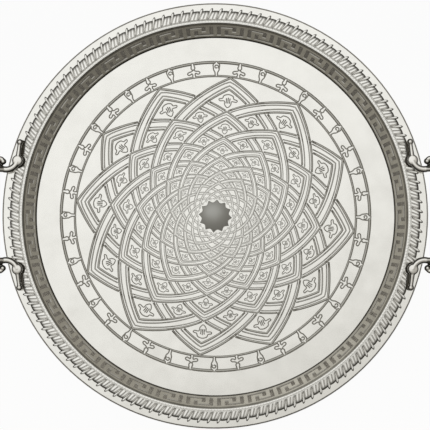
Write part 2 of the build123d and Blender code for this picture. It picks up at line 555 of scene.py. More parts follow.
@dataclass(frozen=True)
class SilverFinish:
    """Polished silver plate, with tarnish in its recesses, painted shade where its mesh holds it, and fine
    polishing marks.

    A piece whose mesh holds no shades can have painted shade on its sloping and upright edges instead, a dark
    line where they would mirror the darker room, by painted_edge_shade.
    """

    name: str
    clean: Colour
    tarnish_and_shade_tone: Colour = (0.13, 0.12, 0.1)
    strength: float = 0.8
    clouding: float = 0.06
    cloud_scale: float = 45.0
    gloss: Pair = (0.07, 0.16)
    smear_scale: float = 70.0
    hairlines: float = 1400.0
    hairline_depth: float = 0.03
    hairline_height: float = 0.1
    painted_edge_shade: float = 0.0
    edge_slope: Pair = (0.9, 0.97)

    def shade(self, bench: NodeBench) -> bpy.types.NodeSocket:
        """Adds the nodes that say where the tarnish and the painted shade lie.

        Args:
            bench: Where the material is made.

        Returns:
            The shade of each place, from 0 for clean to 1 for darkest.
        """
        if not self.painted_edge_shade:
            return bench.add("Attribute", attribute_name=TARNISH_AND_SHADE).outputs["Fac"]
        # Painted shade on sloping and upright faces, darkest where they are steepest.
        face = bench.add("NewGeometry")
        parts = bench.add("SeparateXYZ", {"Vector": face.outputs["True Normal"]})
        level = bench.add("Math", {0: parts.outputs["Z"]}, operation="ABSOLUTE")
        edge = bench.add("MapRange", {
            "Value": level.outputs["Value"],
            "From Min": self.edge_slope[0],
            "From Max": self.edge_slope[1],
            "To Min": self.painted_edge_shade,
            "To Max": 0.0,
        })
        return edge.outputs["Result"]

    def material(self) -> bpy.types.Material:
        """Gives the material of this finish, made once.

        Returns:
            The material.
        """
        if self.name in bpy.data.materials:
            return bpy.data.materials[self.name]
        material = bpy.data.materials.new(self.name)
        material.use_nodes = True
        bench = NodeBench(material.node_tree)
        tone = bench.add(
            "Group",
            {
                "Clean": (*self.clean, 1.0),
                "Dark Tone": (*self.tarnish_and_shade_tone, 1.0),
                "Darkening": self.shade(bench),
                "Strength": self.strength,
                "Clouding": self.clouding,
                "Scale": self.cloud_scale,
            },
            node_tree=EffectGroups.tarnish(),
        )
        marks = bench.add(
            "Group",
            {
                "Gloss Low": self.gloss[0],
                "Gloss High": self.gloss[1],
                "Scale": self.smear_scale,
                "Hairlines": self.hairlines,
            },
            node_tree=EffectGroups.polish(),
        )
        bump = bench.add("Bump", {
            "Strength": self.hairline_depth,
            "Distance": self.hairline_height * MM,
            "Height": marks.outputs["Height"],
        })
        bench.feed(material.node_tree.nodes["Principled BSDF"], {
            "Metallic": 1.0,
            "Base Color": tone.outputs["Colour"],
            "Roughness": marks.outputs["Roughness"],
            "Normal": bump.outputs["Normal"],
        })
        return material


class Finishes:
    """The finishes of the tray."""

    BRIGHT = (0.93, 0.925, 0.895)

    floor = SilverFinish("floor silver", BRIGHT, gloss=(0.1, 0.2))
    # Its dark tone is the painted shade on the chased ribs.
    chasing = SilverFinish("chased silver", BRIGHT, tarnish_and_shade_tone=(0.24, 0.23, 0.2), strength=0.95)
    disc = SilverFinish("disc silver", (0.44, 0.44, 0.42), gloss=(0.34, 0.42))
    # Its dark tone serves tarnish on the back and painted shade on the foot, the top and the sawn edges.
    gallery = SilverFinish(
        "gallery silver",
        (0.75, 0.73, 0.672),
        tarnish_and_shade_tone=(0.06, 0.055, 0.045),
        strength=0.95,
        clouding=0.2,
        cloud_scale=90.0,
    )
    # The rim's sloping lip gets painted shade, a dark line round its edge.
    rim = SilverFinish("rim silver", BRIGHT, painted_edge_shade=1.0)
    # Its near-black tone serves tarnish in the grooves and painted shade in the creases, pockets and outer
    # ends.
    border = SilverFinish("border silver", (0.93, 0.925, 0.9), tarnish_and_shade_tone=(0.055, 0.05, 0.04), strength=0.97)
    # Its near-black tone is mostly the painted shade on the flanks, and also tarnish in the hollows.
    handle = SilverFinish(
        "handle silver",
        (0.9, 0.885, 0.85),
        tarnish_and_shade_tone=(0.03, 0.027, 0.022),
        strength=0.97,
        gloss=(0.12, 0.24),
    )
    screw = SilverFinish("screw plating", (0.72, 0.7, 0.65), gloss=(0.2, 0.35), clouding=0.2)


@dataclass
class Rosette:
    """The chased rosette on the floor: twelve petals whose outlines run inwards on crossing spirals.

    A place on it is given on its own lattice. Bands of one family run along the first lattice axis and those
    of the other across it, a cell apart, and each cell is smaller than the one outside it by the same share.
    The leaf in a cell is drawn on the cell's field, from 0 at its outer corner to 1 at its inner one.
    """

    petals: int = 12
    tip_radius: float = 118.5
    tip_angle: float = 23.7
    cell_ratio: float = 0.870
    layers: int = 15
    over_angle: float = 53.7
    cell_width: float = 0.246
    line_places: tuple[float, ...] = (0.0, 0.085, 0.19, 0.29)
    line_widths: tuple[float, ...] = (0.078, 0.042, 0.048, 0.078)
    line_spread: float = 0.05
    rib_rise: float = 0.2
    rib_painted_shade: float = 0.62
    gap: float = 0.012
    blunting: float = 0.02
    steps: int = 6
    motif_layers: int = 9
    motif_size: float = 0.86
    motif_width: float = 0.038
    motif_painted_shade: float = 0.92
    motif_steps: int = 4
    leaf_side: Outline = (
        (0.93, 0.93), (0.84, 0.64), (0.64, 0.4), (0.78, 0.26), (0.7, 0.12), (0.54, 0.18), (0.34, 0.06),
    )
    leaf_point: Pair = (0.12, 0.12)
    leaf_vein: Outline = ((0.4, 0.28), (0.55, 0.45), (0.72, 0.6))
    leaf_midrib: Outline = ((0.3, 0.3), (0.48, 0.48), (0.66, 0.66))
    disc_radius: float = 13.0
    disc_tooth: float = 2.6
    disc_edge: float = 0.3
    disc_crown: float = 3.2
    disc_sink: float = 0.1
    disc_hub: float = 0.02
    disc_rings: int = 14
    tooth_steps: int = 10

    def angle_at(self, turn: np.ndarray | int) -> np.ndarray | float:
        """Gives the angle, in degrees, so many half petals on from a tip."""
        return self.tip_angle + 180.0 / self.petals * turn

    def radius_at(self, depth: np.ndarray | float) -> np.ndarray | float:
        """Gives the radius at a depth of so many lattice steps below the petal tips."""
        return self.tip_radius * self.cell_ratio**depth

    def place(self, lattice: np.ndarray) -> np.ndarray:
        """Turns places on the lattice into places on the floor.

        Args:
            lattice: Array of lattice pairs.

        Returns:
            Array of x and y.
        """
        along, across = lattice[..., 0], lattice[..., 1]
        radius = self.radius_at(along + across)
        return radius[..., None] * on_circle(np.radians(self.angle_at(along - across)))

    def crossing(self, column: int, row: int) -> Crossing:
        """Says how the bands meet at the outer corner of a cell.

        Args:
            column: Place of the cell along the lattice.
            row: Place of the cell across the lattice.

        Returns:
            The kind of crossing.
        """
        turn = column - row
        if turn % 2 == 0:
            return Crossing.TIP
        away = (self.angle_at(turn) - self.over_angle + 90.0) % 180.0 - 90.0
        return Crossing.ALONG_OVER if away > 0 else Crossing.ACROSS_OVER

    def line_at(self, number: int, run: np.ndarray | float) -> np.ndarray | float:
        """Gives how far inside the band's edge one of its lines lies, after so many cells from its tip."""
        spread = self.line_spread * (self.line_places[number] > self.line_places[1])
        return self.line_places[number] + spread * run

    def band_edge(self, run: float) -> float:
        """Gives how far inside its outer edge a band reaches, after so many cells from its tip."""
        return self.line_at(len(self.line_places) - 1, run) + self.line_widths[-1] / 2

    def cell_end(self) -> float:
        """Gives where a cell ends, as a share of it, short of the next band's edge."""
        return 1.0 - self.line_widths[0] / 2 - self.gap

    def stretch(self, number: int, run: float, start: float, end: float) -> np.ndarray:
        """Draws a line of a band through one cell, along the lattice.

        Args:
            number: Which line of the band.
            run: How many cells the band has run from its tip.
            start: Where in the cell the line starts.
            end: Where it ends.

        Returns:
            Lattice pairs from the cell's outer corner.
        """
        t = np.linspace(start, end, self.steps + 1)
        return np.stack([t, self.line_at(number, run + t)], axis=1)

    def rib(self, batch: MeshBatch, lattice: np.ndarray, width: float, floor: float, shade: float) -> None:
        """Adds a rib along places on the lattice.

        Args:
            batch: Where it is gathered.
            lattice: Lattice pairs along the rib.
            width: Its width as a share of the cell.
            floor: Height of the floor.
            shade: Painted shade on its crest.
        """
        cell = self.cell_width * self.radius_at(lattice.sum(axis=1))
        height = float(width * cell.mean() * self.rib_rise)
        batch.add_rib(self.place(lattice), width * cell, height, floor, shade)

    def add_cell(self, batch: MeshBatch, column: int, row: int, floor: float) -> None:
        """Adds the bands that start at a cell's outer corner, and the cell's leaf.

        Args:
            batch: Where the ribs are gathered.
            column: Place of the cell along the lattice.
            row: Place of the cell across the lattice.
            floor: Height of the floor.
        """
        corner = np.array([column, row], float)
        kind = self.crossing(column, row)
        run = 0.0 if kind is Crossing.TIP else 1.0
        stop = self.cell_end()
        along_end = 1.0 if self.crossing(column + 1, row) is Crossing.ALONG_OVER else stop
        across_end = 1.0 if self.crossing(column, row + 1) is Crossing.ACROSS_OVER else stop
        under = self.band_edge(1.0) + self.gap
        for number, width in enumerate(self.line_widths):
            if kind is Crossing.TIP:
                start = self.line_at(number, 0.0)
                along = self.stretch(number, run, start, along_end)
                across = self.stretch(number, run, start, across_end)[:, ::-1]
                bent = np.concatenate([across[::-1], along[1:]])
                bent[self.steps] = start + (self.blunting if number else 0.0)
                paths = [bent]
            else:
                along_start = 0.0 if kind is Crossing.ALONG_OVER else under
                across_start = 0.0 if kind is Crossing.ACROSS_OVER else under
                along = self.stretch(number, run, along_start, along_end)
                across = self.stretch(number, run, across_start, across_end)[:, ::-1]
                paths = [along, across]
            for path in paths:
                self.rib(batch, corner + path, width, floor, self.rib_painted_shade)
        if column + row <= self.motif_layers:
            self.add_leaf(batch, corner, self.band_edge(run + 0.5), floor)

    def add_leaf(self, batch: MeshBatch, corner: np.ndarray, field_start: float, floor: float) -> None:
        """Adds the three-lobed leaf in a cell's field.

        Args:
            batch: Where the ribs are gathered.
            corner: The cell's outer corner on the lattice.
            field_start: Where the field starts inside the bands, as a share of the cell.
            floor: Height of the floor.
        """
        field_size = self.cell_end() - field_start
        mirrored = [(across, along) for along, across in self.leaf_side[:0:-1]]
        outline = smooth_path([*self.leaf_side, self.leaf_point, *mirrored], self.motif_steps, closed=True)
        vein, midrib = np.array(self.leaf_vein), np.array(self.leaf_midrib)
        for path in (np.concatenate([outline, outline[:1]]), vein, vein[:, ::-1], midrib):
            share = 0.5 + (path - 0.5) * self.motif_size
            place = corner + field_start + share * field_size
            self.rib(batch, place, self.motif_width, floor, self.motif_painted_shade)

    def build_disc(self, floor: float) -> None:
        """Builds the plain domed disc in the middle, whose edge has a tooth for each petal.

        Args:
            floor: Height of the floor, in millimetres.
        """
        batch = MeshBatch()
        turn = round_turn(self.tooth_steps * self.petals)
        tooth = 1.0 - np.abs(np.sin((turn - math.radians(self.tip_angle)) * self.petals / 2))
        edge = self.disc_radius + self.disc_tooth * (tooth - 0.5)
        reach = edge[None, :] * np.linspace(1.0, self.disc_hub, self.disc_rings)[:, None]
        widest = self.disc_radius + self.disc_tooth / 2
        rise = floor + self.disc_crown * (1.0 - (reach / widest) ** 2) + self.disc_edge
        top = batch.add_grid(polar(reach, turn[None, :], rise), wrap_columns=True)
        batch.add_face(top[-1])
        low = batch.add_grid(polar(edge[None, :], turn[None, :], floor - self.disc_sink), wrap_columns=True)
        batch.add_face(low[0, ::-1])
        batch.join_rings(low[0], top[0])
        batch.make("rosette_disc", Finishes.disc)

    def build(self, floor: float) -> None:
        """Builds the ribs of the rosette and the disc in its middle.

        Args:
            floor: Height of the floor, in millimetres.
        """
        ribs = MeshBatch()
        for depth in range(self.layers):
            for petal in range(self.petals):
                row = -petal + depth // 2
                self.add_cell(ribs, depth - row, row, floor)
        ribs.make("rosette_chasing", Finishes.chasing)
        self.build_disc(floor)


@dataclass
class MotifRing:
    """The chased ring round the rosette: trefoils and buds in turn between two raised lines.

    Half a trefoil and half a bud are drawn in sideways and outward millimetres from the middle of the ring.
    The swirl in a bud's head is given by its turn in degrees, its size at each end and its height.
    """

    inner_radius: float = 119.6
    outer_radius: float = 131.3
    inner_line: float = 2.1
    outer_line: float = 2.8
    line_painted_shade: float = 0.7
    thin_line: float = 1.2
    narrowing: Pair = (0.5, 1.7)
    line_steps: int = 36
    pairs: int = 20
    trefoil_angle: float = 62.6
    rib: float = 1.1
    rib_painted_shade: float = 0.92
    rib_rise: float = 0.2
    curve_steps: int = 4
    trefoil_stem: Outline = ((1.1, 5.7), (1.2, 4.0), (1.6, 2.3), (0.9, 0.9), (0.0, 0.7))
    trefoil_lobe: Outline = (
        (0.5, 0.3), (2.2, -0.6), (4.4, -1.0), (5.4, -2.2), (4.4, -3.3), (2.6, -2.9), (1.5, -2.2),
    )
    trefoil_base: Outline = ((1.5, -2.2), (1.0, -3.8), (1.6, -5.5))
    bud_side: Outline = ((1.8, 5.4), (2.7, 3.6), (2.5, 1.2), (2.3, -0.6), (1.2, -2.8), (1.0, -5.6))
    swirl_turn: Pair = (-40.0, 330.0)
    swirl_size: Pair = (2.0, 0.7)
    swirl_height: float = 2.0
    swirl_steps: int = 20

    def ring_line(self, batch: MeshBatch, radius: float, width: float, outward: float, floor: float) -> None:
        """Adds a raised line round the floor, which is thin beside the motifs.

        Args:
            batch: Where it is gathered.
            radius: Its radius.
            width: Its width between the motifs.
            outward: Which edge it keeps beside a motif, 1 for the outer one and -1 for the inner one.
            floor: Height of the floor.
        """
        motifs = 2 * self.pairs
        place = np.arange(motifs * self.line_steps) / self.line_steps
        beside = np.abs(place - np.round(place)) * 2 * math.pi * radius / motifs
        wide = self.thin_line + (width - self.thin_line) * smooth_step(beside, *self.narrowing)
        turn = math.radians(self.trefoil_angle) + 2 * math.pi * place / motifs
        flat = polar(radius + outward * (width - wide) / 2, turn, 0.0)[:, :2]
        batch.add_rib(flat, wide, width * self.rib_rise, floor, self.line_painted_shade, closed=True)

    def both_sides(self, outlines: Sequence[Outline]) -> list[np.ndarray]:
        """Draws smooth curves through outlines on the left and their mirror images on the right."""
        curves = [smooth_path(outline, self.curve_steps) for outline in outlines]
        return [curve * (side, 1.0) for side in (-1.0, 1.0) for curve in curves]

    def trefoil(self) -> list[np.ndarray]:
        """Draws the paths of a trefoil."""
        return self.both_sides([self.trefoil_stem, self.trefoil_lobe, self.trefoil_base])

    def bud(self) -> list[np.ndarray]:
        """Draws the paths of a bud."""
        turn = np.radians(np.linspace(*self.swirl_turn, self.swirl_steps))
        size = np.linspace(*self.swirl_size, self.swirl_steps)
        swirl = size[:, None] * on_circle(turn) + (0.0, self.swirl_height)
        return [swirl, *self.both_sides([self.bud_side])]

    def build(self, floor: float) -> None:
        """Builds the two lines and all motifs of the ring.

        Args:
            floor: Height of the floor, in millimetres.
        """
        batch = MeshBatch()
        self.ring_line(batch, self.inner_radius, self.inner_line, -1.0, floor)
        self.ring_line(batch, self.outer_radius, self.outer_line, 1.0, floor)
        middle = (self.inner_radius + self.outer_radius) / 2
        step = 180.0 / self.pairs
        for number in range(2 * self.pairs):
            angle = math.radians(self.trefoil_angle + step * number)
            for path in self.bud() if number % 2 else self.trefoil():
                flat = polar(middle + path[:, 1], angle - path[:, 0] / middle, 0.0)[:, :2]
                batch.add_rib(flat, self.rib, self.rib * self.rib_rise, floor, self.rib_painted_shade)
        batch.make("motif_ring_chasing", Finishes.chasing)


@dataclass
class Gallery:
    """The sloping wall, pierced with a Greek key.

    Painted shade darkens its foot, where it meets the floor, and its top, under the rim; its sawn edges are
    dull and get painted shade as well.
    """

    opening_radius: float = 161.6
    spread: float = 9.55
    gauge: float = 0.8
    units: int = 38
    bottom_margin: float = 4.6
    foot_line: float = 3.0
    top_margin: float = 6.2
    top_line: float = 3.9
    pattern: tuple[str, ...] = ("#.#.....", "#.#.###.", "#.#.#.#.", "#.###.#.", "#.....#.")
    column_steps: int = 2
    painted_foot_shade: float = 1.0
    painted_top_shade: float = 0.65
    back_shade: float = 0.6
    painted_edge_shade: float = 0.55

    def sheet(self, solid: np.ndarray, inner: int, outer: int) -> Iterator[tuple[tuple[int, ...], float]]:
        """Goes over the faces of the pierced sheet.

        Args:
            solid: Rows, from the foot up, and columns of cells, True where there is metal.
            inner: Index of the first point of the inner face.
            outer: Index of the first point of the outer face.

        Yields:
            The corners of each face and its shade.
        """
        rows, count = solid.shape
        # Painted shade on the foot row and the top row.
        painted_row_shade = {0: self.painted_foot_shade, rows - 1: self.painted_top_shade}
        for row, column in np.argwhere(solid).tolist():
            after = (column + 1) % count
            low_a, low_b = row * count + column, row * count + after
            high_a, high_b = low_a + count, low_b + count
            yield (inner + low_b, inner + low_a, inner + high_a, inner + high_b), painted_row_shade.get(row, 0.0)
            yield (outer + low_a, outer + low_b, outer + high_b, outer + high_a), self.back_shade
            sides = (
                (low_a, low_b, row > 0 and solid[row - 1, column]),
                (high_b, high_a, row + 1 < rows and solid[row + 1, column]),
                (high_a, low_a, solid[row, column - 1]),
                (low_b, high_b, solid[row, after]),
            )
            for first, last, hidden in sides:
                if not hidden:
                    yield (inner + first, inner + last, outer + last, outer + first), self.painted_edge_shade

    def build(self, bottom: float, top: float) -> None:
        """Builds the wall in cells of the key's grid, open where the key is pierced.

        Args:
            bottom: Height of its foot, in millimetres.
            top: Height of its top edge, in millimetres.
        """
        slant = math.hypot(self.spread, top - bottom)
        key_height = slant - self.bottom_margin - self.top_margin
        edges = self.bottom_margin + key_height * np.arange(len(self.pattern) + 1) / len(self.pattern)
        levels = np.concatenate([[0.0, self.foot_line], edges, [slant - self.top_line, slant]]) / slant
        columns = len(self.pattern[0])
        solid = np.ones((len(levels) - 1, columns), bool)
        solid[2:-2] = [[mark == "#" for mark in line] for line in reversed(self.pattern)]
        solid = np.tile(np.repeat(solid, self.column_steps, axis=1), (1, self.units))
        count = solid.shape[1]
        unit = 2 * math.pi / self.units
        turn = unit / 2 - unit / columns / 2 + 2 * math.pi * np.arange(count) / count
        height = bottom + (top - bottom) * levels
        radius = self.opening_radius - self.spread * (1.0 - levels)
        width = self.gauge * slant / (top - bottom)
        batch = MeshBatch()
        inner = batch.add_points(polar(radius[:, None], turn[None, :], height[:, None]), 0.0)
        outer = batch.add_points(polar(radius[:, None] + width, turn[None, :], height[:, None]), 0.0)
        faces, shades = zip(*self.sheet(solid, inner, outer))
        batch.faces.extend(faces)
        piece = batch.make("key_gallery", Finishes.gallery, ["gallery_band"])
        piece.data.shade_flat()
        set_tarnish_and_shade(piece.data, np.array(shades), "FACE")


@dataclass
class GadroonBorder:
    """The cast border on the rim: wide lobes with narrow tongues between them, all leaning one way.

    A place in it is given across, in units with a lobe at each whole number and a tongue at each half, and
    outwards, as a share of the border's width.
    """

    width: float = 10.0
    count: int = 132
    slant: float = 23.0
    base: float = 1.6
    groove: float = 0.03
    fade: Pair = (0.0, 0.24)
    lobe_flatness: float = 8.0
    tongue_flatness: float = 4.0
    tongue_half: Pair = (0.05, 0.155)
    tongue_swell: Pair = (0.05, 0.75)
    tongue_tip: float = 0.97
    tongue_height: float = 0.8
    lobe_end: float = 0.76
    lobe_round: float = 0.07
    notch: float = 0.6
    end_round: float = 0.12
    tongue_outline: Pair = (0.06, 0.18)
    lobe_outline: Pair = (0.06, 0.32)
    grooves_dark: Pair = (0.08, 0.62)
    groove_shade: float = 0.92
    crease: Pair = (0.02, 0.075)
    crease_depth: float = 0.22
    crease_painted_shade: float = 0.38
    inward_fade: Pair = (0.2, 0.6)
    inward_fade_floor: float = 0.5
    root: Pair = (0.06, 0.16)
    root_painted_shadow: float = 0.6
    inner_shade: float = 0.3
    columns: int = 28
    rows: int = 22
    pocket: Pair = (3.5, 4.6)
    foot_margin: float = 1.6

    def tongue_width(self, share: np.ndarray) -> np.ndarray:
        """Gives half the width of a tongue, which tapers inwards."""
        low, high = self.tongue_half
        return low + (high - low) * smooth_step(share, *self.tongue_swell)

    def outer_edge(self, beside: np.ndarray) -> np.ndarray:
        """Gives the scalloped outer edge, where tongues reach further out than lobes.

        Args:
            beside: Distance across from the middle of the nearest tongue, in units.

        Returns:
            The share of the border's width at which it ends.
        """
        cap = np.sqrt(np.clip(1.0 - (beside / (self.tongue_half[1] + self.groove)) ** 2, 0.0, 1.0))
        tongue = self.notch + (self.tongue_tip - self.notch) * cap
        lobe = self.lobe_end - self.lobe_round * (1.0 - 2.0 * beside) ** 2
        return np.maximum(tongue, lobe)

    def creased(self, beside: np.ndarray) -> np.ndarray:
        """Gives how deep a place lies in the fine crease along the middle of a lobe, from 0 to 1."""
        return 1.0 - smooth_step(0.5 - beside, *self.crease)

    def relief(self, beside: np.ndarray, share: np.ndarray, end: np.ndarray) -> np.ndarray:
        """Gives the height of the relief, from 0 in the grooves to 1 on the lobes.

        Args:
            beside: Distance across from the middle of the nearest tongue, in units.
            share: Place outwards.
            end: Where the border ends there.

        Returns:
            The height at each place.
        """
        tongue_half = self.tongue_width(share)
        lobe_half = 0.5 - tongue_half - self.groove
        tongue = np.sqrt(np.clip(1.0 - (beside / tongue_half) ** self.tongue_flatness, 0.0, 1.0))
        lobe = np.sqrt(np.clip(1.0 - ((0.5 - beside) / lobe_half) ** self.lobe_flatness, 0.0, 1.0))
        lobe = lobe * (1.0 - self.crease_depth * self.creased(beside))
        ridges = np.maximum(lobe, self.tongue_height * tongue)
        ridges = np.maximum(ridges, 1.0 - smooth_step(share, *self.fade))
        from_end = np.clip(1.0 - (end - share) / self.end_round, 0.0, 1.0)
        return ridges * np.sqrt(1.0 - from_end**2)

    def shade(self, beside: np.ndarray, share: np.ndarray, end: np.ndarray, relief: np.ndarray) -> np.ndarray:
        """Gives the darkening of the border: tarnish in its grooves, and painted shade along its creases, at
        its roots and round its outer edge.

        Args:
            beside: Distance across from the middle of the nearest tongue, in units.
            share: Place outwards.
            end: Where the border ends there.
            relief: Height of the relief.

        Returns:
            The shade of each place.
        """
        shade = self.groove_shade * (1.0 - smooth_step(relief, *self.grooves_dark))
        # Painted shade along the crease in the middle of each lobe.
        shade = np.maximum(shade, self.crease_painted_shade * self.creased(beside))
        # All of it lighter towards the inner side.
        shade = shade * (self.inward_fade_floor + (1.0 - self.inward_fade_floor) * smooth_step(share, *self.inward_fade))
        # Painted shadow at the inner end of each tongue.
        root = (1.0 - smooth_step(beside, *self.root)) * (1.0 - smooth_step(share, *self.root))
        shade = np.maximum(shade, self.root_painted_shadow * root)
        # Painted shade round the rounded outer ends.
        on_tongue = beside < self.tongue_half[1]
        for mask, outline in ((on_tongue, self.tongue_outline), (~on_tongue, self.lobe_outline)):
            shade = np.maximum(shade, mask * (1.0 - smooth_step(end - share, *outline)))
        return shade

    def build(self, bottom: float, top: float, outer: float, spurs: np.ndarray) -> None:
        """Builds the border as one closed ring.

        Args:
            bottom: Height of the rim that it sits on, in millimetres.
            top: Height of its lobes.
            outer: Its outer radius.
            spurs: Start and end of each handle's spurs, round which the border sinks flat into pockets of
                painted shadow.
        """
        place = np.arange(self.count * self.columns) / self.columns
        beside = np.abs(place % 1.0 - 0.5)[None, :]
        end = self.outer_edge(beside)
        share = np.linspace(0.0, 1.0, self.rows)[:, None] * end
        radius = outer - self.width * (1.0 - share)
        middle = outer - self.width / 2
        lean = (middle - radius) * math.tan(math.radians(self.slant)) / middle
        turn = place[None, :] * 2 * math.pi / self.count + lean
        flat = polar(radius, turn, 0.0)[..., :2]
        from_feet = np.min(np.linalg.norm(flat[..., None, :] - spurs[:, 0], axis=-1), axis=-1)
        from_handles = np.minimum(distance_to_bars(flat, spurs), from_feet - self.foot_margin)
        open_share = smooth_step(from_handles, *self.pocket)
        relief = self.relief(beside, share, end) * open_share
        height = bottom + self.base + (top - bottom - self.base) * relief
        # Painted shadow fills the pockets beside the handles' feet and spurs.
        shade = np.maximum(self.shade(beside, share, end, relief), 1.0 - open_share)
        batch = MeshBatch()
        tops = batch.add_grid(np.concatenate([flat, height[..., None]], axis=-1), shade, wrap_columns=True)
        low = np.full(flat[:1].shape[:2] + (1,), bottom)
        foot = np.concatenate([flat[:1], low], axis=-1)
        edge = np.concatenate([flat[-1:], low], axis=-1)
        # Painted shade on the inner wall and, fully, on the outer wall.
        inner = batch.add_grid(foot, self.inner_shade, wrap_columns=True)[0]
        rim = batch.add_grid(edge, 1.0, wrap_columns=True)[0]
        for first, last in ((inner, tops[0]), (tops[-1], rim), (rim, inner)):
            batch.join_rings(first, last)
        batch.make("gadroon_casting", Finishes.border, ["gadroon_border"])


@dataclass
class BeadWire:
    """The fine beaded wire inside the gadroon."""

    width: float = 1.6
    beads: int = 396
    columns: int = 12
    rows: int = 9
    height: float = 0.25
    dip: float = 0.68
    flatness: float = 6.0
    dips_dark: Pair = (0.68, 0.85)
    dip_shade: float = 0.12

    def build(self, bottom: float, outer: float) -> None:
        """Builds the wire as one closed ring of beads.

        Args:
            bottom: Height of the rim that it sits on, in millimetres.
            outer: Its outer radius.
        """
        place = np.arange(self.beads * self.columns) / self.columns
        from_middle = np.abs(2 * (place % 1.0) - 1.0)
        swell = np.clip(1.0 - from_middle**self.flatness, 0.0, 1.0) ** (1 / self.flatness)
        size = self.dip + (1.0 - self.dip) * swell
        arch = np.linspace(math.pi, 0.0, self.rows)
        aside, above = squared_circle(arch, self.flatness)
        half = self.width / 2
        radius = outer - half + half * aside[:, None] * size[None, :]
        height = bottom + self.height * above[:, None] * size[None, :]
        turn = np.broadcast_to(2 * math.pi * place / self.beads, radius.shape)
        shade = self.dip_shade * (1.0 - smooth_step(size, *self.dips_dark))
        batch = MeshBatch()
        index = batch.add_grid(polar(radius, turn, height), shade, wrap_columns=True)
        batch.join_rings(index[-1], index[0])
        batch.make("beaded_wire", Finishes.border, ["bead_wire"])


